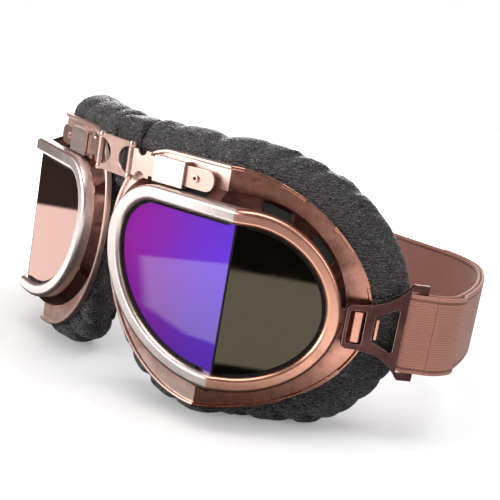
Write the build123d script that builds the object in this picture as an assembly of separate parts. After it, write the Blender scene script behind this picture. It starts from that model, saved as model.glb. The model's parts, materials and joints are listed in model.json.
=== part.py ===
from build123d import *
from dataclasses import dataclass
from math import cos, radians, sin, tan
import os

# Split lens flying goggles with an adjustable, hinged nose bridge.
# X runs to the right as seen from the front, Y to the back of the head, Z up.
# The right half is built first, with the lens crease on Y = 0, and the left half mirrors it.
# Heights are measured from the lowest edge of the bezels until the whole object
# is set down with its leather pads on Z = 0. Lengths are millimetres, angles degrees.

# Layout of the two eye cups
crease_half_gap = 56.8
front_wrap = 12.6
side_bend = 38.0
flange_front_depth = 6.2
flange_side_depth = 10.4
overrun = 20.0
clearing = 220.0
seam_tolerance = 0.0001

# Bezel outline: front pane toward the nose, side pane toward the temple
bezel_height = 61.8
front_reach = 50.7
front_flat = 33.0
front_waist_share = 0.696
front_waist = front_waist_share * bezel_height
side_reach = 39.5
side_waist_share = 0.469
side_waist = side_waist_share * bezel_height
side_slope_share = 0.52
ellipse_share = 0.55
bezel_rim = 5.2
bezel_crown = 1.4
bezel_skirt = 3.6
bezel_round = 1.5
rebate_width = 1.7
rebate_depth = 1.0

# Lenses, their black centre strip and the gasket behind them
lens_thickness = 1.6
lens_play = 0.1
divider_width = 0.8
gasket_thickness = 0.9
gasket_lap = 1.2

# Metal frame: flange on the face side and the drum wall that carries the bezel
wall_inset = 1.8
wall_thickness = 1.0
flange_thickness = 1.2
flange_margin_top = 12.0
flange_height = bezel_height + flange_margin_top
flange_drop = 10.4
flange_front_reach = 46.0
flange_front_flat = 24.0
flange_side_reach = 56.0
flange_side_waist_share = 0.453
flange_side_waist = flange_side_waist_share * bezel_height
flange_slope_share = 0.46
lip_width = 1.4
lip_height = 0.9
lip_round_share = 0.4
slot_height = 1.7
slot_land = 0.6
front_slot_length = 20.0
front_slot_start = 16.7
side_slot_length = 13.5
side_slot_angles = (80, 50, 20, -32, -60)
foam_thickness = 1.3
foam_play = 0.1

# Nose bridge: link, pins, sliding tabs and their guides
hinge_rise = 5.2
hinge_height = bezel_height + hinge_rise
pin_run = 39.6
pin_stand_off = 2.6
pin_radius = 0.7
pin_head_height = 0.4
pin_head_share = 0.8
knuckle_radius = 1.3
knuckle_height = 1.5
link_height = 12.6
link_thickness = 1.1
link_waist = 4.6
link_notch_height = 9.4
pin_play = 0.12
tab_thickness = 1.0
tab_height = 9.2
tab_shoulder = 8.8
tab_notch_radius = 1.9
tab_notch_run = 4.9
tongue_height = 7.0
tongue_round_share = 0.45
tongue_tip_run = 4.0
rivet_run = 11.2
rivet_radius = 1.3
rivet_hole_radius = 0.6
rivet_height = 0.8
guide_run = 15.5
guide_length = 12.8
guide_height = 9.2
guide_roof = 1.0
guide_play = 0.25
guide_round = 0.5

# Strap lug and buckle at the temple
buckle_height_share = 0.429
buckle_height_centre = buckle_height_share * bezel_height
pivot_run = 54.4
pivot_stand_off = 3.0
buckle_turn = 4.4
buckle_thickness = 1.4
buckle_lug_end = 8.6
buckle_lug_half = 7.8
buckle_flare_run = 13.4
buckle_strap_half = 17.2
buckle_outer_run = 18.7
buckle_corner = 1.8
crossbar_half = 1.65
window_length = 5.8
window_half = 5.9
triangle_length = 8.2
triangle_near_half = 4.3
triangle_far_half = 8.3
strap_slot_run = 12.4
strap_slot_width = 3.0
strap_slot_play = 0.7
window_round = 0.9
lug_thickness = 0.9
lug_width = 10.6
lug_tip_width = 7.0
lug_foot_run = 43.6
lug_bump_rise = 3.4
lug_tip_rise = 4.1
trough_half = 2.2
lug_bend = 0.75
lug_play = 0.3

# Elastic strap
strap_width = 28.0
strap_thickness = 1.3
strap_loop_run = 22.0
strap_leg_gap = 0.2
strap_fold_share = 0.7
strap_joint_gap = 0.3
strap_turn_radius = 14.0
strap_turn_angle = 49.0
strap_side_radius = 130.0
strap_side_angle = 24.0
strap_back_radius = 34.0

# Strap adjuster
adjuster_bar = 3.2
adjuster_window = 4.2
adjuster_rail = 2.6
adjuster_thickness = 1.2
adjuster_play = 0.35
adjuster_place = -22.0

# Leather face pads
pad_gap = 0.3
pad_depth = 16.0
pad_margin_top = 8.0
pad_margin_bottom = 5.0
pad_margin_side = 15.5
pad_front_reach = 52.0
pad_front_flat = 36.0
pad_side_waist_share = 0.437
pad_side_waist = pad_side_waist_share * bezel_height
pad_side_foot = 34.0
pad_front_foot = 7.0
pad_front_round = 9.0
pad_back_round = 6.0
pad_eye_margin = 1.0
foot_flat = 0.5
lining_thickness = 1.2
lining_margin = 6.5
nose_half_gap = 1.7
nose_flare = 20.0
nose_splay = 7.0
nose_pad_half = 6.9
nose_pad_depth = 13.0
nose_pad_fall = 17.0
nose_pad_rise = 12.5
nose_pad_bottom = hinge_height - nose_pad_fall
nose_pad_top = hinge_height + nose_pad_rise
nose_pad_round = 2.5
nose_arch_radius = 6.0
nose_pad_gap = 0.3


@dataclass
class Outline:
    """Half of an eye outline: two quarter curves between a level top and bottom."""

    top: float
    bottom: float
    reach: float
    waist: float
    flat: float = 0.0
    foot: float = 0.0
    top_share: float = ellipse_share

    def inset(self, amount):
        """The same outline drawn in by an amount, or let out by a negative one."""
        return Outline(self.top - amount, self.bottom + amount, self.reach - amount,
                       self.waist, self.flat, self.foot, self.top_share)

    def level_to(self, run):
        """The same outline, level at least as far as a run from the corner line."""
        return Outline(self.top, self.bottom, self.reach, self.waist,
                       max(self.flat, run), max(self.foot, run), self.top_share)

    def shifted(self, run):
        """The same outline measured from a corner line that lies a run farther away."""
        return Outline(self.top, self.bottom, self.reach + run, self.waist,
                       max(self.flat + run, 0), self.foot, self.top_share)


@dataclass
class Bend:
    """An upright corner line where a flat front portion meets a flat side portion."""

    x: float
    y: float

    def front(self):
        return self.plane(front_wrap)

    def side(self):
        return self.plane(front_wrap + side_bend)

    def plane(self, angle):
        """Plane with X along the portion, Y up and Z out of the face."""
        turn = radians(angle)
        return Plane((self.x, self.y, 0), x_dir=(cos(turn), sin(turn), 0),
                     z_dir=(sin(turn), -cos(turn), 0))


def base_corner():
    """Corner line of the flange, behind that of the lenses."""
    bend = radians(side_bend)
    run = (flange_front_depth * cos(bend) - flange_side_depth) / sin(bend)
    point = lens_bend.front().from_local_coords((run, 0, -flange_front_depth))
    return Bend(point.X, point.Y), run


def level_run(depth):
    """Run beside the corner that an outline needs level, to meet its other half down to a depth."""
    return depth * tan(radians(side_bend / 2))


lens_bend = Bend(crease_half_gap, 0)
base_bend, front_shift = base_corner()
side_shift = base_bend.side().to_local_coords(Vector(lens_bend.x, lens_bend.y, 0)).X

drum_level = level_run(flange_side_depth + flange_thickness)
flange_level = level_run(flange_thickness)
pad_level = level_run(flange_thickness + 2 * pad_gap + pad_depth + lining_thickness)
bezel_front = Outline(bezel_height, 0, front_reach, front_waist, front_flat, drum_level)
bezel_side = Outline(bezel_height, 0, side_reach, side_waist, drum_level, drum_level,
                     side_slope_share)
flange_front = Outline(flange_height, -flange_drop, flange_front_reach, front_waist,
                       flange_front_flat, flange_level)
flange_side = Outline(flange_height, -flange_drop, flange_side_reach, flange_side_waist,
                      flange_level, flange_level, flange_slope_share)
pad_front = Outline(flange_height + pad_margin_top, -flange_drop - pad_margin_bottom,
                    pad_front_reach, front_waist, pad_front_flat, pad_front_foot)
pad_side = Outline(flange_height + pad_margin_top, -flange_drop - pad_margin_bottom,
                   flange_side_reach + pad_margin_side, pad_side_waist, pad_level, pad_side_foot)
eye_inset = wall_inset + wall_thickness
eye_front = bezel_front.inset(eye_inset).shifted(front_shift)
eye_side = bezel_side.inset(eye_inset).shifted(side_shift)
pad_eye_front = eye_front.inset(pad_eye_margin).level_to(pad_level)
pad_eye_side = eye_side.inset(pad_eye_margin).level_to(pad_level)


def quarter(flat_point, tip, share):
    """Quarter curve, level where it leaves the flat and upright at the tip."""
    return Bezier(flat_point,
                  (flat_point[0] + (tip[0] - flat_point[0]) * share, flat_point[1]),
                  (tip[0], tip[1] + (flat_point[1] - tip[1]) * share), tip)


def outline_face(outline, toward):
    """Face of a half outline, run straight past the corner line by the overrun."""
    past = -toward * overrun
    top_end = (toward * outline.flat, outline.top)
    tip = (toward * outline.reach, outline.waist)
    bottom_end = (toward * outline.foot, outline.bottom)
    return make_face([
        Line((past, outline.bottom), (past, outline.top)),
        Line((past, outline.top), top_end),
        quarter(top_end, tip, outline.top_share),
        quarter(bottom_end, tip, ellipse_share),
        Line(bottom_end, (past, outline.bottom)),
    ])


def slab(outline, toward, low, high):
    """A half outline as a plate between two heights above its plane."""
    return Pos(0, 0, low) * extrude(outline_face(outline, toward), high - low, dir=(0, 0, 1))


def front_part(bend, solid, seam=0):
    """Cut a front portion at the mitre, half a seam short, and stand it in place."""
    block = Box(clearing, clearing, clearing, align=(Align.MIN, Align.CENTER, Align.CENTER))
    kept = solid - Rot(0, side_bend / 2, 0) * Pos(-seam / 2, 0, 0) * block
    return bend.front().location * kept


def side_part(bend, solid, seam=0):
    """Cut a side portion at the mitre, half a seam short, and stand it in place."""
    block = Box(clearing, clearing, clearing, align=(Align.MAX, Align.CENTER, Align.CENTER))
    kept = solid - Rot(0, -side_bend / 2, 0) * Pos(seam / 2, 0, 0) * block
    return bend.side().location * kept


def bent(bend, make_half):
    """A bent part from a function that makes either half in its own plane."""
    front = front_part(bend, make_half(-1))
    return front.fuse(side_part(bend, make_half(1)), tol=seam_tolerance)


def bent_slab(bend, front, side, low, high):
    """A plain bent plate between two heights."""
    return bent(bend, lambda toward: slab(front if toward < 0 else side, toward, low, high))


def behind_flange(depth):
    """Everything on the face side of the flange, from a depth below its front face."""
    block = Box(2 * clearing, 2 * clearing, clearing,
                align=(Align.CENTER, Align.CENTER, Align.MAX))
    return bent(base_bend, lambda toward: Pos(0, 0, -depth) * block)


def lens_outline(toward):
    return bezel_front if toward < 0 else bezel_side


def lens_bezel():
    """Rounded ring with a stepped seat behind its lip for the lens and gasket."""
    def half(toward):
        outline = lens_outline(toward)
        rim = slab(outline, toward, -bezel_skirt, bezel_crown)
        rim -= slab(outline.inset(bezel_rim), toward, -2 * bezel_skirt, 2 * bezel_crown)
        rim = fillet(rim.edges().group_by(Axis.Z)[-1], bezel_round)
        seat = outline.inset(bezel_rim - rebate_width)
        return rim - slab(seat, toward, -2 * bezel_skirt, -rebate_depth)
    return bent(lens_bend, half)


def lens_plate(toward):
    seat = lens_outline(toward).inset(bezel_rim - rebate_width + lens_play)
    return slab(seat, toward, -rebate_depth - lens_thickness, -rebate_depth)


def lens_front_pane():
    return front_part(lens_bend, lens_plate(-1), divider_width)


def lens_side_pane():
    return side_part(lens_bend, lens_plate(1), divider_width)


def lens_divider():
    """Black strip that fills the joint between the two panes."""
    panes = lens_front_pane() + lens_side_pane()
    return bent(lens_bend, lens_plate) - panes


def lens_gasket():
    """Rubber ring between the lens and the front edge of the drum."""
    seat_inset = bezel_rim - rebate_width + lens_play

    def half(toward):
        outline = lens_outline(toward)
        top = -rebate_depth - lens_thickness
        ring = slab(outline.inset(seat_inset), toward, top - gasket_thickness, top)
        hole = outline.inset(seat_inset + rebate_width + gasket_lap)
        return ring - slab(hole, toward, 2 * top, 0)
    return bent(lens_bend, half)


def drum(inset, top):
    """Bent block under the bezel, from its skirt down to the face side."""
    deep = flange_side_depth + overrun
    front = bezel_front.inset(inset)
    side = bezel_side.inset(inset)
    return bent_slab(lens_bend, front, side, -deep, top)


def vent_slots():
    """Cutters for the air slots at the foot of the drum wall."""
    front_box = Pos(-front_slot_start, bezel_height, -flange_front_depth + slot_land) * Box(
        front_slot_length, 2 * (wall_inset + wall_thickness), slot_height,
        align=(Align.MAX, Align.CENTER, Align.MIN))
    cutters = [lens_bend.front().location * front_box]
    side_box = Box(front_reach, side_slot_length, slot_height,
                   align=(Align.MIN, Align.CENTER, Align.MIN))
    for angle in side_slot_angles:
        place = Pos(0, side_waist, -flange_side_depth + slot_land) * Rot(0, 0, angle)
        cutters.append(lens_bend.side().location * place * side_box)
    return cutters


def flange_lip():
    """Raised rounded edge round the outside of the flange."""
    def half(toward):
        outline = flange_front if toward < 0 else flange_side
        ring = slab(outline, toward, -flange_thickness / 2, lip_height)
        ring -= slab(outline.inset(lip_width), toward, -flange_thickness, 2 * lip_height)
        return fillet(ring.edges().group_by(Axis.Z)[-1], lip_width * lip_round_share)
    return bent(base_bend, half)


def lip_gap():
    """Gap in the lip where the strap lug crosses it."""
    block = Box(4 * lip_width, lug_width + 2 * lug_play, 2 * lip_height,
                align=(Align.CENTER, Align.CENTER, Align.MIN))
    place = Pos(flange_side_reach, buckle_height_centre, 0)
    return base_bend.side().location * place * block


def base_frame():
    """Flange with its lip, and the slotted drum wall that stands on it."""
    flange = bent_slab(base_bend, flange_front, flange_side, -flange_thickness, 0)
    wall = drum(wall_inset, -bezel_skirt) - behind_flange(flange_thickness)
    frame = flange + flange_lip() + wall - drum(eye_inset, 0) - lip_gap()
    for cutter in vent_slots():
        frame -= cutter
    return frame


def vent_foam():
    """Strip of open foam that lines the drum wall behind the air slots."""
    outer = eye_inset + foam_play
    foam = drum(outer, -bezel_skirt - foam_play) - drum(outer + foam_thickness, 0)
    return foam - behind_flange(flange_thickness)


def tab_level():
    """Height of the underside of the sliding tab above the flange."""
    return pin_stand_off - tab_thickness / 2


def tab_guide():
    """Rounded sleeve on the flange, with a level passage for the tongue."""
    roof = pin_stand_off + tab_thickness / 2 + guide_play + guide_roof
    body = Box(guide_length, guide_height, roof, align=(Align.MAX, Align.CENTER, Align.MIN))
    body = fillet(body.edges().filter_by(Axis.X).group_by(Axis.Z)[-1], guide_round)
    passage = Pos(0, 0, tab_level() - guide_play) * Box(
        3 * guide_length, tongue_height + 2 * guide_play, tab_thickness + 2 * guide_play,
        align=(Align.CENTER, Align.CENTER, Align.MIN))
    return base_bend.front().location * Pos(-guide_run, hinge_height, 0) * (body - passage)


def bridge_tab():
    """T shaped tab: barrel on the hinge pin, notched shoulder and rounded tongue."""
    barrel = Cylinder(knuckle_radius, tab_height, rotation=(90, 0, 0))
    shoulder = Rectangle(tab_shoulder, tab_height, align=(Align.MIN, Align.CENTER))
    tongue = Rectangle(pin_run - tongue_tip_run, tongue_height,
                       align=(Align.MIN, Align.CENTER))
    tongue = fillet(tongue.vertices().group_by(Axis.X)[-1], tongue_height * tongue_round_share)
    sheet = shoulder + tongue
    for side in (-1, 1):
        sheet -= Pos(tab_notch_run, side * tab_height / 2) * Circle(tab_notch_radius)
    plate = extrude(sheet, tab_thickness / 2, both=True)
    bore = Cylinder(pin_radius + pin_play, 2 * tab_height, rotation=(90, 0, 0))
    rivet_place = Pos(pin_run - rivet_run, 0, 0)
    rivet_bore = rivet_place * Cylinder(rivet_hole_radius, 2 * tab_thickness)
    solid = barrel + plate - bore - rivet_bore
    return base_bend.front().location * Pos(-pin_run, hinge_height, pin_stand_off) * solid


def stop_rivet():
    """Hollow stop stud on the tongue, which keeps the tab in its guide."""
    ring = Circle(rivet_radius) - Circle(rivet_hole_radius)
    stud = extrude(ring, rivet_height)
    place = Pos(-rivet_run, hinge_height, pin_stand_off + tab_thickness / 2)
    return base_bend.front().location * place * stud


def pin_point():
    """Centre of the hinge pin."""
    return base_bend.front().from_local_coords((-pin_run, hinge_height, pin_stand_off))


def hinge_pin():
    point = pin_point()
    pin = Cylinder(pin_radius, link_height)
    for end in (-1, 1):
        head = Cylinder(knuckle_radius * pin_head_share, pin_head_height)
        pin += Pos(0, 0, end * (link_height + pin_head_height) / 2) * head
    return Pos(point.X, point.Y, point.Z) * pin


def bridge_link():
    """Waisted plate between the two pins, with four knuckles round them."""
    point = pin_point()
    sheet = Rectangle(2 * point.X, link_height)
    notch_depth = point.X - link_waist / 2
    for side in (-1, 1):
        sheet -= Pos(side * point.X, 0) * Ellipse(notch_depth, link_notch_height / 2)
    solid = Rot(90, 0, 0) * extrude(sheet, link_thickness / 2, both=True)
    for side in (-1, 1):
        for end in (-1, 1):
            height = end * (link_height - knuckle_height) / 2
            solid += Pos(side * point.X, 0, height) * Cylinder(knuckle_radius, knuckle_height)
        solid -= Pos(side * point.X, 0, 0) * Cylinder(pin_radius + pin_play / 2, 2 * link_height)
        relief = Cylinder(knuckle_radius + pin_play, tab_height + 2 * pin_play)
        solid -= Pos(side * point.X, 0, 0) * relief
    return Pos(0, point.Y, point.Z) * solid


def buckle_plane():
    """Plane of the buckle: X toward the strap, Z out, origin on the crossbar."""
    side = base_bend.side()
    pivot = side.from_local_coords((pivot_run, buckle_height_centre, pivot_stand_off))
    turn = radians(front_wrap + side_bend + buckle_turn)
    return Plane(pivot, x_dir=(cos(turn), sin(turn), 0), z_dir=(sin(turn), -cos(turn), 0))


def upright(face, height):
    """Extrude a plan face, drawn as run and stand off, evenly up and down its plane."""
    return Rot(90, 0, 0) * extrude(face, height / 2, both=True)


def strap_lug():
    """Bent hook: foot on the flange, bump in the window, trough and upturned tip."""
    base = lug_thickness / 2
    near = pivot_run - trough_half - lug_thickness / 2
    far = pivot_run + trough_half + lug_thickness / 2
    bump = near - window_length / 2
    line = FilletPolyline((lug_foot_run, base), (bump - base, base), (bump, lug_bump_rise),
                          (near, lug_bump_rise), (near + base, base), (far, base),
                          (far, lug_tip_rise), radius=lug_bend)
    hook = upright(trace(line, lug_thickness), lug_width)
    side_cut = Pos(near + lug_thickness, 0, 0) * Box(
        clearing, lug_width, clearing, align=(Align.MIN, Align.MIN, Align.CENTER))
    for side in (0, 180):
        hook -= Rot(side, 0, 0) * Pos(0, lug_tip_width / 2, 0) * side_cut
    return base_bend.side().location * Pos(0, buckle_height_centre, 0) * hook


def buckle_outline():
    """Waisted plate that flares from the lug end to the strap end."""
    lug_corner = (-buckle_lug_end, buckle_lug_half)
    flare = (buckle_flare_run, buckle_strap_half)
    half_run = (buckle_lug_end + buckle_flare_run) / 2
    upper = [
        Line((-buckle_lug_end, 0), lug_corner),
        Bezier(lug_corner, (lug_corner[0] + half_run, buckle_lug_half),
               (flare[0] - half_run / 2, buckle_lug_half + buckle_corner), flare),
        Line(flare, (buckle_outer_run, buckle_strap_half)),
        Line((buckle_outer_run, buckle_strap_half), (buckle_outer_run, 0)),
    ]
    half = make_face(upper + [Line((buckle_outer_run, 0), (-buckle_lug_end, 0))])
    plate = half + mirror(half, about=Plane.XZ)
    return fillet(plate.vertices().group_by(Axis.X)[0], buckle_corner)


def strap_buckle():
    """Stamped plate with the lug window, a tapered opening and the strap slot."""
    window = Pos(-crossbar_half, 0) * Rectangle(
        window_length, 2 * window_half, align=(Align.MAX, Align.CENTER))
    near = crossbar_half
    far = crossbar_half + triangle_length
    opening = make_face(Polyline((near, -triangle_near_half), (far, -triangle_far_half),
                                 (far, triangle_far_half), (near, triangle_near_half),
                                 close=True))
    slot = Pos(strap_slot_run, 0) * Rectangle(
        strap_slot_width, strap_width + 2 * strap_slot_play, align=(Align.MIN, Align.CENTER))
    sheet = buckle_outline()
    for hole in (window, opening, slot):
        sheet -= fillet(hole.vertices(), window_round)
    return buckle_plane().location * extrude(sheet, buckle_thickness / 2, both=True)


def strap_leg_offset():
    """Distance of each strap layer from the middle of the doubled strap."""
    return (strap_thickness + strap_leg_gap) / 2


def strap_loop():
    """Strap end that passes round the outer bar of the buckle and back on itself."""
    slot_centre = strap_slot_run + strap_slot_width / 2
    out = buckle_thickness / 2 + strap_leg_gap + strap_thickness / 2
    leg = strap_leg_offset()
    line = FilletPolyline((strap_loop_run, -leg), (buckle_outer_run, -out),
                          (slot_centre, -out), (slot_centre, out), (buckle_outer_run, out),
                          (strap_loop_run, leg), radius=strap_thickness * strap_fold_share)
    return buckle_plane().location * upright(trace(line, strap_thickness), strap_width)


def strap_route(offset):
    """Arcs of one strap layer from the buckle loop to the straight back strap."""
    plane = buckle_plane()
    start = plane.from_local_coords((strap_loop_run + strap_joint_gap, 0, offset))
    turns = ((strap_turn_radius, strap_turn_angle), (strap_side_radius, strap_side_angle))
    heading = front_wrap + side_bend + buckle_turn
    point = (start.X, start.Y)
    edges = []
    for radius, angle in turns:
        edges.append(strap_arc(point, heading, radius + offset, angle))
        end = edges[-1] @ 1
        point = (end.X, end.Y)
        heading += angle
    edges.append(strap_arc(point, heading, strap_back_radius + offset, 180 - heading))
    return edges


def strap_arc(point, heading, radius, angle):
    direction = (cos(radians(heading)), sin(radians(heading)))
    return JernArc(point, direction, radius, angle)


def webbing(edges):
    """Flat webbing stood on edge along a plan route."""
    band = extrude(trace(edges, strap_thickness), strap_width / 2, both=True)
    return Pos(0, 0, buckle_height_centre) * band


def strap_side():
    """Inner layer, which carries on into the back strap."""
    return webbing(strap_route(-strap_leg_offset()))


def strap_return():
    """Outer layer: the strap end folded back from the buckle and sewn down."""
    return webbing(strap_route(strap_leg_offset()))


def back_strap_ends():
    """Plan point where the inner layer turns straight along the back."""
    return (strap_route(-strap_leg_offset())[-1] @ 1)


def strap_back():
    end = back_strap_ends()
    half = end.X - strap_joint_gap
    return webbing([Line((-half, end.Y), (half, end.Y))])


def strap_adjuster():
    """Slider: rails above and below the strap, two bars behind it and one before it."""
    end = back_strap_ends()
    inner = strap_width + 2 * adjuster_play
    length = 3 * adjuster_bar + 2 * adjuster_window
    bar_place = (strap_thickness + adjuster_thickness) / 2 + adjuster_play
    rail_depth = 2 * bar_place + adjuster_thickness
    rail = Box(length, rail_depth, adjuster_rail)
    solid = Part()
    for side in (-1, 1):
        solid += Pos(0, 0, side * (inner + adjuster_rail) / 2) * rail
    bar = Box(adjuster_bar, adjuster_thickness, inner + adjuster_rail)
    step = adjuster_bar + adjuster_window
    for run, face in ((-step, 1), (0, -1), (step, 1)):
        solid += Pos(run, face * bar_place, 0) * bar
    return Pos(adjuster_place, end.Y, buckle_height_centre) * solid


def nose_flank():
    """Everything on the nose side of the slanting flank of the right pad."""
    start = base_bend.front().from_local_coords((-pin_run, 0, 0))
    block = Box(clearing, clearing, clearing, align=(Align.MAX, Align.CENTER, Align.CENTER))
    turned = Rot(0, 0, -nose_flare) * Rot(0, -nose_splay, 0) * block
    return Pos(nose_half_gap, start.Y, nose_pad_bottom) * turned


def nose_pad_front():
    """Y of the front of the nose pad, just behind the flanges."""
    edge = base_bend.front().from_local_coords((-pin_run, 0, -flange_thickness - pad_gap))
    return edge.Y + pad_gap


def nose_seat():
    """Room that the pads leave for the nose pad."""
    width = nose_pad_half + nose_pad_gap
    block = Box(2 * width, clearing, clearing, align=(Align.CENTER, Align.CENTER, Align.MIN))
    return Pos(0, 0, nose_pad_bottom - nose_pad_gap) * block


def below_foot():
    """Everything below the level on which the pads stand."""
    block = Box(2 * clearing, 2 * clearing, clearing,
                align=(Align.CENTER, Align.CENTER, Align.MAX))
    return Pos(0, 0, -flange_drop - pad_margin_bottom + foot_flat) * block


def face_pad():
    """Rolled leather cushion, open at the eye."""
    back = -flange_thickness - pad_gap - pad_depth
    front = -flange_thickness - pad_gap

    def half(toward):
        outline = pad_front if toward < 0 else pad_side
        eye = pad_eye_front if toward < 0 else pad_eye_side
        pad = slab(outline, toward, back, front)
        pad = fillet(pad.edges().group_by(Axis.Z)[0], pad_back_round)
        pad = fillet(pad.edges().group_by(Axis.Z)[-1], pad_front_round)
        hole = slab(eye, toward, 2 * back, 0)
        return pad - hole
    pad = bent(base_bend, half)
    return pad - nose_flank() - nose_seat() - below_foot()


def face_lining():
    """Soft fabric ring on the face side of the pad."""
    front = -flange_thickness - 2 * pad_gap - pad_depth
    back = front - lining_thickness

    def half(toward):
        outline = (pad_front if toward < 0 else pad_side).inset(lining_margin)
        eye = pad_eye_front if toward < 0 else pad_eye_side
        return slab(outline, toward, back, front) - slab(eye, toward, 2 * back, 0)
    return bent(base_bend, half) - nose_flank() - nose_seat()


def nose_pad():
    """Leather saddle over the nose, between the two pads and behind the link."""
    height = nose_pad_top - nose_pad_bottom
    block = Box(2 * nose_pad_half, nose_pad_depth, height,
                align=(Align.CENTER, Align.MIN, Align.MIN))
    block = fillet(block.edges().group_by(Axis.Z)[-1], nose_pad_round)
    arch = Cylinder(nose_arch_radius, 3 * nose_pad_depth, rotation=(90, 0, 0))
    return Pos(0, nose_pad_front(), nose_pad_bottom) * (block - arch)


RIGHT_MAKERS = (lens_bezel, lens_front_pane, lens_side_pane, lens_divider, lens_gasket,
                base_frame, vent_foam, tab_guide, bridge_tab, stop_rivet, hinge_pin,
                strap_lug, strap_buckle, strap_loop, strap_side, strap_return,
                face_pad, face_lining)
MIDDLE_MAKERS = (bridge_link, nose_pad, strap_back, strap_adjuster)


def build():
    """All pieces by name, with the middle of their box over the origin."""
    parts = {}
    for make in RIGHT_MAKERS:
        solid = make()
        parts[make.__name__ + "_right"] = solid
        parts[make.__name__ + "_left"] = mirror(solid, about=Plane.YZ)
    for make in MIDDLE_MAKERS:
        parts[make.__name__] = make()
    box = Compound(children=[Compound(part.solids()) for part in parts.values()]).bounding_box()
    centre = box.center()
    shift = Vector(-centre.X, -centre.Y, -box.min.Z)
    return {name: Pos(shift) * part for name, part in parts.items()}, shift, box


def print_places(shift):
    """Joint places in the finished frame, for the record."""
    pin = pin_point() + shift
    pivot = buckle_plane().origin + shift
    along = base_bend.front().x_dir
    end = back_strap_ends() + shift
    print("hinge pin", pin)
    print("buckle pivot", pivot)
    print("slide direction", along)
    print("back strap", end)
    print("shift", shift)


def main():
    os.makedirs("parts", exist_ok=True)
    parts, shift, box = build()
    for name, part in parts.items():
        export_step(part, f"parts/{name}.step")
    print("size", box.size)
    print_places(shift)


main()
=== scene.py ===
import json
from math import cos, pi, radians, sin, sqrt

import bmesh
import bpy
import numpy as np
from mathutils import Matrix, Vector, noise


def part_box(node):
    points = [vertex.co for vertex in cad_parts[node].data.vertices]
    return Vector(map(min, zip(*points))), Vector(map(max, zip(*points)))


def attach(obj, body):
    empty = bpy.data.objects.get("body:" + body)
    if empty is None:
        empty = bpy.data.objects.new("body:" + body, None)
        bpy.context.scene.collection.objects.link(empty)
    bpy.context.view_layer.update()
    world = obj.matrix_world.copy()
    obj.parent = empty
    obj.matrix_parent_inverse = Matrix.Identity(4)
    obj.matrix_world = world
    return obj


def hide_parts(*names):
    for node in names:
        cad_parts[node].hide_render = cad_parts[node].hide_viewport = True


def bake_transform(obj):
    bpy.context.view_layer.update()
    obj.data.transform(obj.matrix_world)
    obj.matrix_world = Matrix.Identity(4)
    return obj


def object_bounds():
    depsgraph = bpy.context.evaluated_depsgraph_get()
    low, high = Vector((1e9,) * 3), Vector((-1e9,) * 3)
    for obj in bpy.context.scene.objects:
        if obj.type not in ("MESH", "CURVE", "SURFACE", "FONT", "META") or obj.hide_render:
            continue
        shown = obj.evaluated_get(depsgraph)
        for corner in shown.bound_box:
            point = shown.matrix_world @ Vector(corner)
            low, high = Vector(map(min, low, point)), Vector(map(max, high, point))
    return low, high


# Split lens flying goggles, dressed over their CAD frame. Lengths are metres.
mm = 0.001

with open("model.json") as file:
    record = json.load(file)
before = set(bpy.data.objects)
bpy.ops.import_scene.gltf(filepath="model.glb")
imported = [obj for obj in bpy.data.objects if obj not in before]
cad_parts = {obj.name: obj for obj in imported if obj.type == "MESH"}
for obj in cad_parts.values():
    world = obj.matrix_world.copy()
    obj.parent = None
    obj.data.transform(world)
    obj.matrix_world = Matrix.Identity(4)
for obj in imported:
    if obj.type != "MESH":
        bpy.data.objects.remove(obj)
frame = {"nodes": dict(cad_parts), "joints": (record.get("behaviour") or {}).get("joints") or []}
cad_low, cad_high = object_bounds()
nodes = frame["nodes"]
joints = {joint["name"]: joint for joint in frame["joints"]}
sides = (("right", 1), ("left", -1))

# The two flat portions of each cup, and the corner lines that they share
front_wrap = radians(12.6)
side_bend = radians(38.0)
pin_run = 39.6 * mm
pin_stand_off = 2.6 * mm
hinge_height = 67.0 * mm
flange_front_depth = 6.2 * mm
flange_side_depth = 10.4 * mm
pin_place = Vector(joints["bridge_hinge_right"]["pos_m"])
pivot_place = Vector(joints["buckle_swing_right"]["pos_m"])
level_zero = pin_place.z - hinge_height

# How close points of a CAD mesh are to be one, and how flat its faces
merge_distance = 0.002 * mm
flat_angle = radians(0.6)


class Portion:
    """A flat portion: X along it, Y up and Z out of the face, from a corner line."""

    def __init__(self, corner, angle):
        self.corner = Vector((corner.x, corner.y, level_zero))
        self.along = Vector((cos(angle), sin(angle), 0))
        self.out = Vector((sin(angle), -cos(angle), 0))

    def at(self, run, height, out):
        return self.corner + self.along * run + Vector((0, 0, height)) + self.out * out

    def run_of(self, spot):
        return (spot - self.corner).dot(self.along)


def lens_corner(base):
    """Corner line of the lenses, in front of that of the flange."""
    portion = Portion(base, front_wrap)
    run = (flange_side_depth - flange_front_depth * cos(side_bend)) / sin(side_bend)
    return portion.at(run, 0, flange_front_depth)


pin_portion = Portion(pin_place, front_wrap)
base_corner = pin_portion.at(pin_run, 0, -pin_stand_off)
lens_front = Portion(lens_corner(base_corner), front_wrap)
lens_side = Portion(lens_corner(base_corner), front_wrap + side_bend)
base_front = Portion(base_corner, front_wrap)
base_side = Portion(base_corner, front_wrap + side_bend)


def activate(piece):
    bpy.ops.object.select_all(action="DESELECT")
    piece.select_set(True)
    bpy.context.view_layer.objects.active = piece


def new_piece(name, mesh):
    piece = bpy.data.objects.new(name, mesh)
    bpy.context.scene.collection.objects.link(piece)
    return piece


def smooth(piece, degrees):
    activate(piece)
    bpy.ops.object.shade_smooth_by_angle(angle=radians(degrees))


def apply_modifiers(piece):
    activate(piece)
    for modifier in list(piece.modifiers):
        bpy.ops.object.modifier_apply(modifier=modifier.name)


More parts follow.
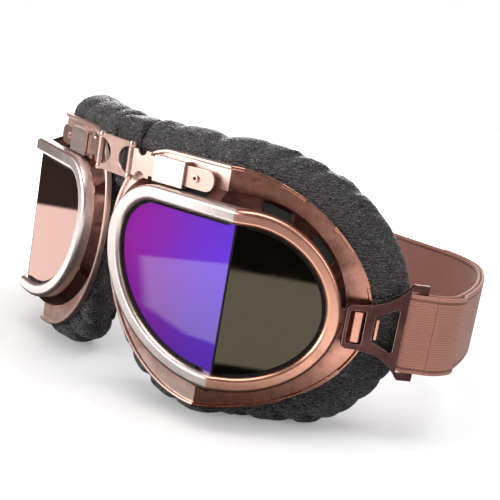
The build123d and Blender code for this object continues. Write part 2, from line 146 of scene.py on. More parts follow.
def pick_faces(piece, test):
    """Select only the faces that pass a test, in face mode, inside edit mode."""
    bpy.context.tool_settings.mesh_select_mode = (False, False, True)
    bpy.ops.mesh.select_all(action="DESELECT")
    edit = bmesh.from_edit_mesh(piece.data)
    edit.normal_update()
    for face in edit.faces:
        if test(face):
            face.select_set(True)
    bmesh.update_edit_mesh(piece.data)


def mirrored(piece, name):
    """A copy of a right hand piece on the left, with its faces turned outward again."""
    mesh = piece.data.copy()
    mesh.transform(Matrix.Diagonal((-1, 1, 1, 1)))
    mesh.flip_normals()
    return new_piece(name, mesh)


def paint(piece, material):
    piece.data.materials.clear()
    piece.data.materials.append(material)


def copy_of_node(node, name):
    """A merged copy of a CAD node's mesh, active and ready for modifiers."""
    piece = new_piece(name, nodes[node].data.copy())
    activate(piece)
    bpy.ops.object.mode_set(mode="EDIT")
    bpy.ops.mesh.select_all(action="SELECT")
    bpy.ops.mesh.remove_doubles(threshold=merge_distance)
    bpy.ops.mesh.dissolve_limited(angle_limit=flat_angle)
    bpy.ops.object.mode_set(mode="OBJECT")
    piece.data.materials.clear()
    return piece


# Shader nodes


def group(name, inputs, outputs):
    """An empty node group with named inputs and outputs, each given with its kind."""
    tree = bpy.data.node_groups.new(name, "ShaderNodeTree")
    for way, sockets in (("INPUT", inputs), ("OUTPUT", outputs)):
        for label, kind in sockets.items():
            tree.interface.new_socket(label, in_out=way, socket_type=f"NodeSocket{kind}")
    source = tree.nodes.new("NodeGroupInput")
    target = tree.nodes.new("NodeGroupOutput")
    return Shader(tree), source.outputs, target.inputs


class Shader:
    """Short ways to add and join the nodes of one tree."""

    def __init__(self, tree):
        self.tree = tree

    def add(self, kind, **settings):
        node = self.tree.nodes.new(kind)
        for key, value in settings.items():
            setattr(node, key, value)
        return node

    def fill(self, socket, value):
        """Link a socket to an output, or set it to a plain value or colour."""
        if isinstance(value, bpy.types.NodeSocket):
            self.tree.links.new(value, socket)
        elif socket.type == "RGBA":
            socket.default_value = (*value, 1)
        else:
            socket.default_value = value

    def math(self, operation, first, second=0.0):
        node = self.add("ShaderNodeMath", operation=operation)
        self.fill(node.inputs[0], first)
        self.fill(node.inputs[1], second)
        return node.outputs[0]

    def plus(self, first, second):
        return self.math("ADD", first, second)

    def minus(self, first, second):
        return self.math("SUBTRACT", first, second)

    def times(self, first, second):
        return self.math("MULTIPLY", first, second)

    def over(self, first, second):
        return self.math("DIVIDE", first, second)

    def absolute(self, value):
        return self.math("ABSOLUTE", value)

    def mix(self, factor, first, second):
        """One colour blended into another."""
        node = self.add("ShaderNodeMix", data_type="RGBA")
        for label, value in (("Factor", factor), ("A", first), ("B", second)):
            self.fill(node.inputs[label], value)
        return node.outputs["Result"]

    def span(self, value, low, high, start=0.0, end=1.0):
        """A smooth step from start to end while the value goes from low to high."""
        node = self.add("ShaderNodeMapRange", interpolation_type="SMOOTHSTEP")
        for socket, number in zip(node.inputs, (value, low, high, start, end)):
            self.fill(socket, number)
        return node.outputs["Result"]

    def noise(self, vector, scale, detail=3.0, roughness=0.55, output="Fac"):
        node = self.add("ShaderNodeTexNoise")
        for label, value in (("Vector", vector), ("Scale", scale), ("Detail", detail),
                             ("Roughness", roughness)):
            self.fill(node.inputs[label], value)
        return node.outputs[output]

    def bump(self, height, strength, distance):
        node = self.add("ShaderNodeBump")
        for label, value in (("Strength", strength), ("Distance", distance),
                             ("Height", height)):
            self.fill(node.inputs[label], value)
        return node.outputs["Normal"]

    def drawn_out(self, vector, stretch):
        """The coordinates times a vector, for marks that are longer one way."""
        node = self.add("ShaderNodeVectorMath", operation="MULTIPLY")
        self.fill(node.inputs[0], vector)
        self.fill(node.inputs[1], stretch)
        return node.outputs[0]

    def parts(self, vector):
        node = self.add("ShaderNodeSeparateXYZ")
        self.fill(node.inputs[0], vector)
        return node.outputs


# Copper plate, with the scales of its marks in marks per metre

cloud_scale = 95.0
spot_scale = 420.0
cloud_share = 0.78
line_share = 0.22
even_amount = 0.5
patina_low = 0.28
patina_high = 0.80
patina_dullness = 0.22
spot_dullness = 0.16
brush_strength = 0.25
brush_depth = 0.02 * mm


def antique_plate_group():
    """Dark patina in clouds, fine brush marks and rubbed bright places."""
    shader, source, target = group(
        "antique_plate",
        {"Vector": "Vector", "Bright": "Color", "Patina": "Color", "Amount": "Float",
         "Brush": "Vector", "Dullness": "Float"},
        {"Color": "Color", "Roughness": "Float", "Normal": "Vector"})
    clouds = shader.noise(source["Vector"], cloud_scale, detail=5.0, roughness=0.62)
    spots = shader.noise(source["Vector"], spot_scale)
    brushed = shader.drawn_out(source["Vector"], source["Brush"])
    lines = shader.noise(brushed, 1.0, detail=4.0, roughness=0.65)
    cover = shader.plus(shader.times(clouds, cloud_share), shader.times(lines, line_share))
    shifted = shader.plus(cover, shader.minus(source["Amount"], even_amount))
    mask = shader.span(shifted, patina_low, patina_high)
    rough = shader.plus(shader.times(mask, patina_dullness),
                        shader.times(spots, spot_dullness))
    shader.fill(target["Color"], shader.mix(mask, source["Bright"], source["Patina"]))
    shader.fill(target["Roughness"], shader.plus(rough, source["Dullness"]))
    shader.fill(target["Normal"], shader.bump(lines, brush_strength, brush_depth))
    return shader.tree


# Leather grain

pebble_wobble_scale = 260.0
pebble_wobble = 1.1 * mm
pebble_edge = 0.32
streak_stretch = (620, 620, 1900)
streak_low = 0.42
streak_high = 0.62
glint_patch_scale = 120.0
pebble_share = 0.35
streak_share = 0.65
grain_depth = 0.60 * mm


def leather_grain_group():
    """Rounded pebbles that wander and drawn streaks over them, for the bump, and a painted glint
    mask of the streaks in soft patches.
    """
    shader, source, target = group(
        "leather_grain", {"Vector": "Vector", "Scale": "Float", "Strength": "Float"},
        {"Height": "Float", "Glint": "Float", "Normal": "Vector"})
    wobble = shader.noise(source["Vector"], pebble_wobble_scale, detail=2.0, roughness=0.5,
                          output="Color")
    moved = shader.add("ShaderNodeVectorMath", operation="MULTIPLY_ADD")
    shader.fill(moved.inputs[0], wobble)
    shader.fill(moved.inputs[1], (pebble_wobble, pebble_wobble, pebble_wobble))
    shader.fill(moved.inputs[2], source["Vector"])
    cells = shader.add("ShaderNodeTexVoronoi", feature="DISTANCE_TO_EDGE")
    shader.fill(cells.inputs["Vector"], moved.outputs[0])
    shader.fill(cells.inputs["Scale"], source["Scale"])
    pebble = shader.span(cells.outputs["Distance"], 0.0, pebble_edge)
    drawn = shader.noise(shader.drawn_out(moved.outputs[0], streak_stretch), 1.0,
                         detail=2.0, roughness=0.5)
    streaks = shader.span(drawn, streak_low, streak_high)
    # Soft patches that, with the streaks, mark where painted glints lighten the colour
    creases = shader.noise(source["Vector"], glint_patch_scale, detail=2.0, roughness=0.5)
    height = shader.plus(shader.times(pebble, pebble_share),
                         shader.times(streaks, streak_share))
    shader.fill(target["Height"], height)
    shader.fill(target["Glint"], shader.times(streaks, creases))
    shader.fill(target["Normal"], shader.bump(height, source["Strength"], grain_depth))
    return shader.tree


# Webbing

rib_pitch = 1.1 * mm
thread_pitch = 0.85 * mm
fuzz_scale = 2300.0
rib_share = 0.28
weave_share = 0.6
fuzz_share = 0.75
selvage_place = 12.3 * mm
selvage_low = 0.25 * mm
selvage_high = 0.6 * mm
weave_strength = 0.8
weave_depth = 0.22 * mm


def webbing_weave_group():
    """Elastic webbing on UV metres: ribs across the band and threads along it."""
    shader, source, target = group(
        "webbing_weave", {"UV": "Vector"},
        {"Height": "Float", "Normal": "Vector"})
    place = shader.parts(source["UV"])
    along, across = place["X"], place["Y"]
    rows = shader.over(across, thread_pitch)
    stagger = shader.times(shader.math("MODULO", shader.math("FLOOR", rows), 2.0), 0.5)
    ribs = shader.plus(shader.over(along, rib_pitch), stagger)
    wave, thread = (shader.absolute(shader.math("SINE", shader.times(turns, pi)))
                    for turns in (ribs, rows))
    fuzz = shader.noise(source["UV"], fuzz_scale, detail=3.0, roughness=0.7)
    bump = shader.times(shader.plus(shader.times(wave, rib_share), 1 - rib_share), thread)
    bumps = shader.plus(shader.times(bump, weave_share), shader.times(fuzz, fuzz_share))
    groove = shader.span(shader.absolute(shader.minus(shader.absolute(across), selvage_place)),
                         selvage_low, selvage_high)
    height = shader.times(bumps, groove)
    shader.fill(target["Height"], height)
    shader.fill(target["Normal"], shader.bump(height, weave_strength, weave_depth))
    return shader.tree


plate_group = antique_plate_group()
grain_group = leather_grain_group()
weave_group = webbing_weave_group()


# Materials

# Least and greatest values that a noise texture mostly gives
noise_low = 0.3
noise_high = 0.8


def principled(name, **values):
    """A node material with plain values set on the Principled BSDF's own sockets."""
    material = bpy.data.materials.new(name)
    material.use_nodes = True
    shader = Shader(material.node_tree)
    surface = material.node_tree.nodes["Principled BSDF"].inputs
    for label, value in values.items():
        surface[label.replace("_", " ")].default_value = value
    coordinates = shader.add("ShaderNodeTexCoord").outputs
    return material, shader, surface, coordinates


def use_group(shader, tree, **values):
    node = shader.add("ShaderNodeGroup", node_tree=tree)
    for label, value in values.items():
        shader.fill(node.inputs[label], value)
    return node.outputs


tone_blur = 0.25 * mm
# Painted shade on the flange beside the drum, and a little darker towards the bottom
rim_reach_low = 0.55
rim_reach_high = 1.05
lower_dark_share = 0.08
lower_dark_top = 45 * mm
lower_dark_bottom = 16 * mm


def beyond_crease(shader, spot, crease):
    """0 on the front portions of both cups and 1 past their crease lines, for the painted light
    and shade that make the front portions lighter than the sides.
    """
    across = shader.absolute(shader.parts(spot)["X"])
    return shader.span(across, crease - tone_blur, crease + tone_blur)


def drum_shade_and_lower_dark(shader, spot):
    """Painted shade, 1 at the drum and 0 at the rim of the flange, as an ellipse in its box, with
    a little more darkening towards the bottom.
    """
    low, high = (Vector(corner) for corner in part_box("base_frame_right"))
    middle = (low + high) / 2
    half = (high - low) / 2
    place = shader.parts(spot)
    across = shader.over(shader.minus(shader.absolute(place["X"]), middle.x), half.x)
    up = shader.over(shader.minus(place["Z"], middle.z), half.z)
    reach = shader.plus(shader.times(across, across), shader.times(up, up))
    low_down = shader.span(place["Z"], lower_dark_bottom, lower_dark_top,
                           start=lower_dark_share, end=0.0)
    inner = shader.span(reach, rim_reach_low, rim_reach_high, start=1.0, end=0.0)
    return shader.plus(inner, low_down)


def plate_material(name, bright, patina, amount, brush, dullness, side=None, crease=None,
                   rim=0.0):
    """Plate in one tone, or with a side tone (bright, patina, dullness) past a crease, as painted
    light and shade between the front and side portions.
    """
    material, shader, surface, coordinates = principled(name, Metallic=1.0)
    spot = coordinates["Object"]
    if side:
        side_bright, side_patina, side_dullness = side
        beyond = beyond_crease(shader, spot, crease)
        bright = shader.mix(beyond, bright, side_bright)
        patina = shader.mix(beyond, patina, side_patina)
        dullness = shader.span(beyond, 0.0, 1.0, start=dullness, end=side_dullness)
    # Darker plate beside the drum as painted shade, and towards the bottom
    if rim:
        amount = shader.plus(shader.times(drum_shade_and_lower_dark(shader, spot), rim), amount)
    plate = use_group(shader, plate_group, Vector=spot, Bright=bright, Patina=patina,
                      Amount=amount, Brush=brush, Dullness=dullness)
    shader.fill(surface["Base Color"], plate["Color"])
    shader.fill(surface["Roughness"], plate["Roughness"])
    shader.fill(surface["Normal"], plate["Normal"])
    return material


along_height = (2200, 2200, 130)
along_bridge = (130, 2200, 2200)
# The bezel's near white front portion is a painted highlight; the side portion is copper.
bezel_finish = plate_material(
    "bezel_copper", (1.0, 0.89, 0.85), (0.93, 0.68, 0.60), 0.30, along_height, 0.30,
    side=((0.97, 0.50, 0.36), (0.80, 0.34, 0.23), 0.24), crease=lens_front.corner.x)
# The frame's lighter front portion and darker side portion are painted light and shade.
frame_finish = plate_material(
    "frame_copper", (0.98, 0.75, 0.67), (0.42, 0.22, 0.18), 0.20, along_height, 0.34,
    side=((0.86, 0.42, 0.31), (0.10, 0.035, 0.03), 0.20), crease=base_front.corner.x, rim=0.50)
# The drum skirt under the bezel is dark as painted shade, darkest on the side portion.
drum_finish = plate_material(
    "drum_copper", (0.26, 0.12, 0.10), (0.06, 0.025, 0.022), 0.50, along_height, 0.30,
    side=((0.075, 0.030, 0.025), (0.020, 0.009, 0.008), 0.34), crease=base_front.corner.x)
bridge_finish = plate_material(
    "bridge_copper", (0.93, 0.66, 0.57), (0.66, 0.36, 0.28), 0.36, along_bridge, 0.26)
# The guide is a lighter copy of the bridge copper, as a painted highlight.
guide_finish = plate_material(
    "guide_copper", (1.0, 0.84, 0.79), (0.90, 0.62, 0.54), 0.28, along_bridge, 0.30)
buckle_finish = plate_material(
    "buckle_copper", (0.20, 0.095, 0.085), (0.09, 0.040, 0.038), 0.5, along_height, 0.24)
# Bright copper painted on rounded edges as a highlight
painted_edge_highlight = plate_material(
    "painted_edge_highlight_copper", (0.96, 0.68, 0.58), (0.85, 0.48, 0.38), 0.3, along_height, 0.18)

pad_tone = (0.010, 0.009, 0.010)
# Lighter tone painted on the grain's streaks as glints
pad_glint_tone = (0.080, 0.072, 0.080)
pad_pebble_scale = 760.0
pad_grain = 1.0
pad_gloss = 0.19
pad_dull = 0.33
grain_low = 0.2
grain_high = 1.1


def leather_material():
    material, shader, surface, coordinates = principled(
        "black_pad_leather", Specular_IOR_Level=0.9, Sheen_Weight=0.28, Sheen_Roughness=0.3)
    leather = use_group(shader, grain_group, Vector=coordinates["Object"],
                        Scale=pad_pebble_scale, Strength=pad_grain)
    # Painted glints: the streaks lighter in soft patches
    shader.fill(surface["Base Color"], shader.mix(leather["Glint"], pad_tone, pad_glint_tone))
    shader.fill(surface["Roughness"], shader.span(
        leather["Height"], grain_low, grain_high, start=pad_dull, end=pad_gloss))
    shader.fill(surface["Normal"], leather["Normal"])
    return material


nap_scale = 2400.0
nap_strength = 0.6
nap_depth = 0.2 * mm
nap_dark = (0.012, 0.012, 0.013)
nap_light = (0.05, 0.05, 0.052)


def lining_material():
    material, shader, surface, coordinates = principled(
        "brushed_lining", Sheen_Weight=0.4, Specular_IOR_Level=0.2)
    fuzz = shader.noise(coordinates["Object"], nap_scale)
    shader.fill(surface["Base Color"], shader.mix(fuzz, nap_dark, nap_light))
    shader.fill(surface["Roughness"], shader.span(fuzz, 0.0, 1.0, start=0.8, end=0.98))
    shader.fill(surface["Normal"], shader.bump(fuzz, nap_strength, nap_depth))
    return material


# The darker tone is painted shade in the weave's hollows and selvage grooves
webbing_deep = (0.13, 0.040, 0.028)
webbing_tone = (0.50, 0.205, 0.150)
webbing_worn = (0.52, 0.25, 0.19)
worn_scale = 60.0
worn_share = 0.35
weave_high = 1.2


def webbing_material():
    material, shader, surface, coordinates = principled(
        "copper_webbing", Specular_IOR_Level=0.35, Sheen_Weight=0.25)
    weave = use_group(shader, weave_group, UV=coordinates["UV"])
    worn = shader.noise(coordinates["Object"], worn_scale, detail=4.0)
    # Painted shade: darker in the weave's hollows and selvage grooves
    body = shader.mix(weave["Height"], webbing_deep, webbing_tone)
    rubbed = shader.span(worn, noise_low, noise_high, end=worn_share)
    shader.fill(surface["Base Color"], shader.mix(rubbed, body, webbing_worn))
    shader.fill(surface["Roughness"],
                shader.span(weave["Height"], 0.0, weave_high, start=0.75, end=0.5))
    shader.fill(surface["Normal"], weave["Normal"])
    return material


dust_scale = 700.0
dust_strength = 0.15
dust_dullness = 0.15
dust_low = 0.2
dust_depth = 0.05 * mm


def rubber_material(name, shade, rough):
    material, shader, surface, coordinates = principled(name, Specular_IOR_Level=0.2)
    dust = shader.noise(coordinates["Object"], dust_scale, detail=4.0)
    dusty = shade * 2
    shader.fill(surface["Base Color"],
                shader.mix(dust, (shade, shade, shade), (dusty, dusty, dusty)))
    shader.fill(surface["Roughness"],
                shader.span(dust, dust_low, noise_high, start=rough, end=rough + dust_dullness))
    shader.fill(surface["Normal"], shader.bump(dust, dust_strength, dust_depth))
    return material


coating_start = 16 * mm
coating_end = 64 * mm
coating_drift = 12 * mm
coating_drift_scale = 22.0
coating_plum = (0.27, 0.011, 0.29)
coating_blue = (0.13, 0.038, 0.64)
# Tone of a painted dark reflection towards the bottom of the pane
painted_dark_reflection = (0.030, 0.006, 0.075)
coating_slanted = (0.54, 0.31, 0.25)
dark_reflection_bottom = 18 * mm
dark_reflection_top = 62 * mm
dark_reflection_share = 0.50
slant_low = 0.24
slant_high = 0.40
pane_smear_scale = 160.0
smoke_smear_scale = 140.0
smoke_dark = (0.066, 0.055, 0.038)
smoke_light = (0.074, 0.062, 0.044)


def mirror_pane_material():
    """Violet to blue mirror coating that turns to copper pink when seen at a slant, with a
    painted dark reflection towards the bottom.
    """
    material, shader, surface, coordinates = principled("violet_mirror_pane", IOR=1.75)
    spot = coordinates["Object"]
    place = shader.parts(spot)
    drift = shader.noise(spot, coating_drift_scale, detail=2.0)
    run = shader.plus(shader.absolute(place["X"]), shader.times(drift, coating_drift))
    violet = shader.mix(shader.span(run, coating_start, coating_end),
                        coating_plum, coating_blue)
    # Painted dark reflection, darker towards the bottom
    depth = shader.span(place["Z"], dark_reflection_bottom, dark_reflection_top, start=dark_reflection_share, end=0.0)
    violet = shader.mix(depth, violet, painted_dark_reflection)
    slant = shader.add("ShaderNodeLayerWeight")
    turn = shader.span(slant.outputs["Facing"], slant_low, slant_high)
    shader.fill(surface["Base Color"], shader.mix(turn, violet, coating_slanted))
    smear = shader.noise(spot, pane_smear_scale, detail=5.0)
    shader.fill(surface["Roughness"],
                shader.span(smear, noise_low, noise_high, start=0.02, end=0.05))
    shader.fill(surface["Metallic"], turn)
    return material


def smoke_pane_material():
    material, shader, surface, coordinates = principled("smoke_pane", Metallic=1.0)
    smear = shader.noise(coordinates["Object"], smoke_smear_scale, detail=5.0)
    shader.fill(surface["Base Color"], shader.mix(smear, smoke_dark, smoke_light))
    shader.fill(surface["Roughness"],
                shader.span(smear, noise_low, noise_high, start=0.02, end=0.06))
    return material


pad_leather = leather_material()
lining_cloth = lining_material()
strap_webbing = webbing_material()
black_rubber = rubber_material("black_rubber", 0.004, 0.42)
vent_foam_finish = rubber_material("vent_foam", 0.012, 0.85)
mirror_pane = mirror_pane_material()
smoke_pane = smoke_pane_material()


for side, sign in sides:
    paint(nodes[f"lens_front_pane_{side}"], mirror_pane)
    paint(nodes[f"lens_side_pane_{side}"], smoke_pane)
    paint(nodes[f"lens_divider_{side}"], black_rubber)
    paint(nodes[f"lens_gasket_{side}"], black_rubber)
    paint(nodes[f"vent_foam_{side}"], vent_foam_finish)


# Metal pieces

sharp_angle = radians(34)
bezel_sharp_angle = radians(50)


def softened(node, finish, body, edge, crease=sharp_angle):
    """A CAD piece with its sharp edges rubbed round, and the rounded faces painted bright as a
    highlight.
    """
    piece = copy_of_node(node, f"rubbed_{node}")
    piece.data.materials.append(finish)
    piece.data.materials.append(painted_edge_highlight)
    bevel = piece.modifiers.new("edges", "BEVEL")
    bevel.width = edge
    bevel.segments = 2
    bevel.limit_method = "ANGLE"
    bevel.angle_limit = crease
    # The rounded faces get the painted edge highlight
    bevel.material = list(piece.data.materials).index(painted_edge_highlight)
    apply_modifiers(piece)
    smooth(piece, degrees=30)
    even = piece.modifiers.new("even", "WEIGHTED_NORMAL")
    even.keep_sharp = True
    apply_modifiers(piece)
    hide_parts(node)
    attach(piece, body)


for side, sign in sides:
    cup, tab = f"cup_{side}", f"tab_{side}"
    softened(f"lens_bezel_{side}", bezel_finish, cup, edge=0.22 * mm,
             crease=bezel_sharp_angle)
    softened(f"base_frame_{side}", frame_finish, cup, edge=0.16 * mm)
    softened(f"tab_guide_{side}", guide_finish, cup, edge=0.15 * mm)
    softened(f"strap_lug_{side}", frame_finish, cup, edge=0.16 * mm)
    softened(f"bridge_tab_{side}", bridge_finish, tab, edge=0.14 * mm)
    softened(f"stop_rivet_{side}", bridge_finish, tab, edge=0.12 * mm)
    softened(f"hinge_pin_{side}", bridge_finish, "bridge", edge=0.10 * mm)
    softened(f"strap_buckle_{side}", buckle_finish, f"buckle_{side}",
             edge=0.26 * mm)
softened("bridge_link", bridge_finish, "bridge", edge=0.14 * mm)
softened("strap_adjuster", buckle_finish, "adjuster", edge=0.22 * mm)


# Black beads that show round the panes inside the bezels

rebate_width = 1.7 * mm
bead_show = 0.9 * mm
bead_height = 0.35 * mm
bead_start = 0.3 * mm
bead_crease_reach = 4 * mm
bead_end_reach = 3 * mm
facing_share = 0.99


def pane_bead(node, name, portion):
    """A flat ring cut from a pane's face, open at the crease, then given a thickness."""
    piece = copy_of_node(node, name)
    bpy.ops.object.mode_set(mode="EDIT")
    pick_faces(piece, lambda face: face.normal.dot(portion.out) < facing_share)
    bpy.ops.mesh.delete(type="FACE")
    bpy.ops.mesh.select_all(action="SELECT")
    bpy.ops.mesh.inset(thickness=rebate_width + bead_show, use_even_offset=True)
    bpy.ops.mesh.delete(type="FACE")
    pick_faces(piece, lambda face: all(
        abs(portion.run_of(vertex.co)) < bead_crease_reach for vertex in face.verts))
    bpy.ops.mesh.delete(type="FACE")
    bpy.ops.object.mode_set(mode="OBJECT")
    for vertex in piece.data.vertices:
        run = portion.run_of(vertex.co)
        if abs(run) < bead_end_reach:
            vertex.co -= portion.along * (run - np.sign(run) * bead_start)
    thick = piece.modifiers.new("thick", "SOLIDIFY")
    thick.thickness = bead_height
    thick.offset = 1
    apply_modifiers(piece)
    smooth(piece, degrees=40)
    return piece


def pane_beads():
    for pane, portion in (("front", lens_front), ("side", lens_side)):
        right = pane_bead(f"lens_{pane}_pane_right", f"{pane}_pane_bead_right", portion)
        left = mirrored(right, f"{pane}_pane_bead_left")
        for piece, (side, sign) in zip((right, left), sides):
            paint(piece, black_rubber)
            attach(piece, f"cup_{side}")


pane_beads()


# Sloping drum skirts under the bezels, with torn foam behind their vents

skirt_spread = 3.4 * mm
skirt_tuck = 0.8 * mm
skirt_drop = 2.1 * mm
skirt_lift = 0.12 * mm
skirt_sheet = 0.3 * mm
skirt_corner_reach = 1.6 * mm
bezel_lip_depth = 0.2 * mm
bezel_foot_depth = 2.2 * mm
upright_share = 0.1
front_eye_run = -4 * mm
front_eye_height = 31 * mm
side_eye_height = 29 * mm
side_vent_start = 1 * mm
side_vent_turns = (1.18, 0.62, 0.10, -0.62, -1.12)
side_vent_half_turn = 0.17
front_vent_start = -31 * mm
front_vent_end = -14 * mm
front_vent_bottom = 45 * mm
vent_margin = 0.85 * mm
vent_slope = 0.15 * mm
vent_depth = 0.9 * mm


def drum_skirt():
    """The bezel's outer wall, spread to a cone that stands on the flange."""
    piece = copy_of_node("lens_bezel_right", "drum_skirt_right")
    bpy.ops.object.mode_set(mode="EDIT")
    eye = lens_front.at(front_eye_run, front_eye_height, 0)

    def side_of(spot):
        return lens_side if (spot - lens_front.corner).x > 0 else lens_front

    def not_outer_wall(face):
        middle = face.calc_center_median()
        portion = side_of(middle)
        flat = abs(face.normal.dot(portion.out)) > upright_share
        inner = face.normal.dot(middle - eye) < 0
        return flat or inner or (middle - portion.corner).dot(portion.out) > -bezel_lip_depth

    pick_faces(piece, not_outer_wall)
    bpy.ops.mesh.delete(type="FACE")
    bpy.ops.object.mode_set(mode="OBJECT")
    mesh = piece.data
    mesh.update()
    moves = []
    for vertex in mesh.vertices:
        portion = side_of(vertex.co)
        offset = vertex.co - portion.corner
        out = offset.dot(portion.out)
        away = vertex.normal - portion.out * vertex.normal.dot(portion.out)
        away.normalize()
        low = out < -bezel_foot_depth
        flange = flange_side_depth if portion is lens_side else flange_front_depth
        depth = skirt_lift - flange
        if abs(offset.dot(portion.along)) < skirt_corner_reach and low:
            corner = base_front.at(0, offset.z, skirt_lift)
            moves.append(Vector((corner.x, corner.y, vertex.co.z + away.z * skirt_spread)))
        elif low:
            moves.append(vertex.co + away * skirt_spread + portion.out * (depth - out))
        else:
            moves.append(vertex.co - away * skirt_tuck - portion.out * skirt_drop)
    for vertex, move in zip(mesh.vertices, moves):
        vertex.co = move
    return piece


def skirt_vents(piece):
    """Press the vents into the active skirt, with foam at their bottom."""
    bpy.ops.object.mode_set(mode="EDIT")

    def in_vent(face):
        middle = face.calc_center_median()
        height = middle.z - level_zero
        if (middle - base_corner).x > side_vent_start:
            turn = np.arctan2(height - side_eye_height, lens_side.run_of(middle))
            return any(abs(turn - place) < side_vent_half_turn for place in side_vent_turns)
        run = lens_front.run_of(middle)
        return height > front_vent_bottom and front_vent_start < run < front_vent_end

    pick_faces(piece, in_vent)
    bpy.ops.mesh.inset(thickness=vent_margin, depth=0)
    bpy.ops.mesh.inset(thickness=vent_slope, depth=-vent_depth)
    edit = bmesh.from_edit_mesh(piece.data)
    for face in edit.faces:
        face.material_index = 1 if face.select else 0
    bmesh.update_edit_mesh(piece.data)
    bpy.ops.object.mode_set(mode="OBJECT")


def drum_skirts():
    right = drum_skirt()
    bpy.ops.object.mode_set(mode="EDIT")
    for run in (front_vent_start, front_vent_end):
        bpy.ops.mesh.select_all(action="SELECT")
        bpy.ops.mesh.bisect(plane_co=lens_front.at(run, 0, 0), plane_no=lens_front.along)
    bpy.ops.object.mode_set(mode="OBJECT")
    right.data.materials.append(drum_finish)
    right.data.materials.append(vent_foam_finish)
    skirt_vents(right)
    sheet = right.modifiers.new("sheet", "SOLIDIFY")
    sheet.thickness = skirt_sheet
    sheet.offset = -1
    apply_modifiers(right)
    smooth(right, degrees=40)
    left = mirrored(right, "drum_skirt_left")
    for piece, (side, sign) in zip((right, left), sides):
        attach(piece, f"cup_{side}")


drum_skirts()


# Leather pads


def reskinned(piece, voxel, rounds):
    """An even, rounded skin over a piece."""
    remesh = piece.modifiers.new("skin", "REMESH")
    remesh.mode = "VOXEL"
    remesh.voxel_size = voxel
    relax = piece.modifiers.new("relax", "SMOOTH")
    relax.factor = 0.5
    relax.iterations = rounds
    apply_modifiers(piece)


# The pad's outer skin, unrolled into runs along both portions and heights, is close to an ellipse
pad_run_middle = 10 * mm
pad_height_middle = 33.2 * mm
pad_half_run = 62 * mm
pad_half_height = 48.6 * mm
pad_voxel = 1.9 * mm
pad_rounds = 4
outer_start_share = 0.80
outer_blend_share = 0.14

girth_steps = 720
gather_count = 27
gather_drift = 0.32
gather_drift_pace = 0.8
gather_drift_seed = (3.1, 7.7)
gather_depth = 1.9 * mm
gather_power = 2.2
gather_least_share = 0.75
gather_change_share = 0.5
gather_change_pace = 1.7
gather_change_seed = (0.3, 5.1)
soft_height = 0.3 * mm
soft_pace = 55

pin_start_share = 0.82
pin_blend_share = 0.1
pin_power = 1.5
pin_gain = 1.6
puff_scale = 20
puff_frames = 16
puff_limit = 1.5 * mm

tuck_height = 0.16 * mm
tuck_place_pace = 3.3
tuck_depth_pace = 55
tuck_reach_pace = 7
crease_depth = 0.20 * mm
crease_start_share = 0.80
crease_place_pace = 1.9
crease_depth_pace = 90
crease_reach_pace = 14
crease_seed = 9
inner_wrinkle_share = 0.25

fine_voxel = 0.8 * mm
lining_rounds = 3
saddle_rounds = 16
saddle_rise = 1.6 * mm
saddle_soft_height = 0.35 * mm
saddle_soft_pace = 130


def unrolled(spot):
    """Run along the portions from the corner line, and height, of a point of the right cup."""
    offset = spot - base_corner
    portion = base_side if offset.x > 0 else base_front
    run = offset.x / portion.along.x
    return run, spot.z - level_zero


def girth_table():
    """Share of the way round the pad at each angle, by adding up short chords."""
    angles = np.linspace(-pi, pi, girth_steps + 1)
    runs = pad_half_run * np.cos(angles)
    heights = pad_half_height * np.sin(angles)
    chords = np.hypot(np.diff(runs), np.diff(heights))
    travelled = np.concatenate(([0.0], np.cumsum(chords)))
    return angles, travelled / travelled[-1]


girth_angles, girth_shares = girth_table()


def gathers(spot):
    """Place round the pad in gathers, and how far from its eye, 1 at the outer skin."""
    run, height = unrolled(spot)
    across = (run - pad_run_middle) / pad_half_run
    up = (height - pad_height_middle) / pad_half_height
    share = np.interp(np.arctan2(up, across), girth_angles, girth_shares)
    place = share * gather_count
    drift = noise.noise(Vector((place * gather_drift_pace, *gather_drift_seed)))
    return place + drift * gather_drift, sqrt(across * across + up * up)


def ramp(value, start, length):
    return min(1.0, max(0.0, (value - start) / length))


def fold_at(place):
    """1 in a gather's crease and 0 on top of the lobe between two."""
    return 1 - abs(sin(pi * place))


def displaced(piece, move_at):
    """Move each vertex along its first normal by what a function of its place gives."""
    piece.data.update()
    vertices = piece.data.vertices
    normals = [vertex.normal.copy() for vertex in vertices]
    for vertex, normal in zip(vertices, normals):
        vertex.co = vertex.co + normal * move_at(vertex.co)


def gather_move(spot):
    """The outer skin drawn in along the gathers, with soft lobes between them."""
    place, reach = gathers(spot)
    change = noise.noise(Vector((round(place) * gather_change_pace, *gather_change_seed)))
    depth = gather_depth * (gather_least_share + gather_change_share * change)
    soft = soft_height * noise.noise(spot * soft_pace)
    outer = ramp(reach, outer_start_share, outer_blend_share)
    return (soft - depth * fold_at(place) ** gather_power) * outer


def pin_weights(piece):
    """Hold the creases, the eye edge and the flat ends, and leave the lobes free."""
    pins = piece.vertex_groups.new(name="pins")
    for vertex in piece.data.vertices:
        place, reach = gathers(vertex.co)
        outer = ramp(reach, pin_start_share, pin_blend_share)
        free = outer * (1 - fold_at(place) ** pin_power)
        pins.add([vertex.index], max(0.0, 1 - pin_gain * free), "REPLACE")
    return pins


